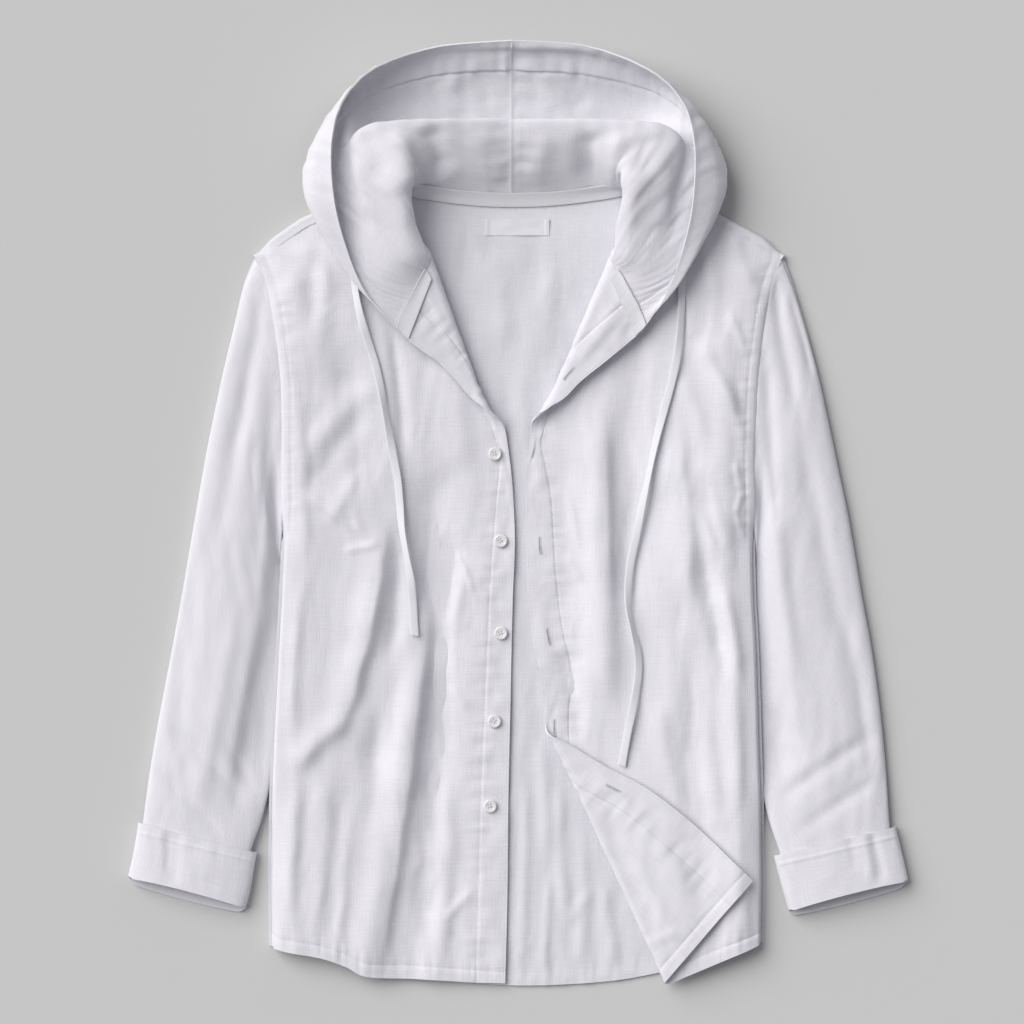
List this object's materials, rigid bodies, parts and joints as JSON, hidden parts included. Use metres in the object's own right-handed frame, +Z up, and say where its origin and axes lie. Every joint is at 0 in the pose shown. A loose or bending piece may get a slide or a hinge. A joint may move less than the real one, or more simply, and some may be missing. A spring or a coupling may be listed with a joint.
{
  "type": "hooded shirt",
  "caption": "White linen hooded shirt laid flat, open at the front with buttons, turned-back cuffs, spread hood and loose drawstring ends.",
  "frame": {"origin": "middle of the box on the surface the shirt lies on", "axes": "+X to the wearer's left (image right), +Y from hem to hood, +Z up off the surface, out of the shirt's front"},
  "size_m": [0.7266, 0.8782, 0.0506],
  "materials": {
    "linen": "soft matte woven linen",
    "tape": "smooth woven tape",
    "label": "satin ribbon, bare",
    "button": "pearly",
    "drawstring": "flat woven tape"
  },
  "bodies": {
    "root": {"back": "linen", "front_right": "linen", "front_left": "linen", "sleeve_right": "linen", "sleeve_left": "linen", "cuff_right": "linen", "cuff_left": "linen", "hood_right": "linen", "hood_left": "linen", "neck_tape": "tape", "neck_tape_right": "tape", "neck_tape_left": "tape", "label": "label", "button_1": "button", "button_2": "button", "button_3": "button", "button_4": "button", "button_5": "button", "button_6": "button", "drawstring_right": "drawstring", "drawstring_left": "drawstring"}
  },
  "joints": []
}
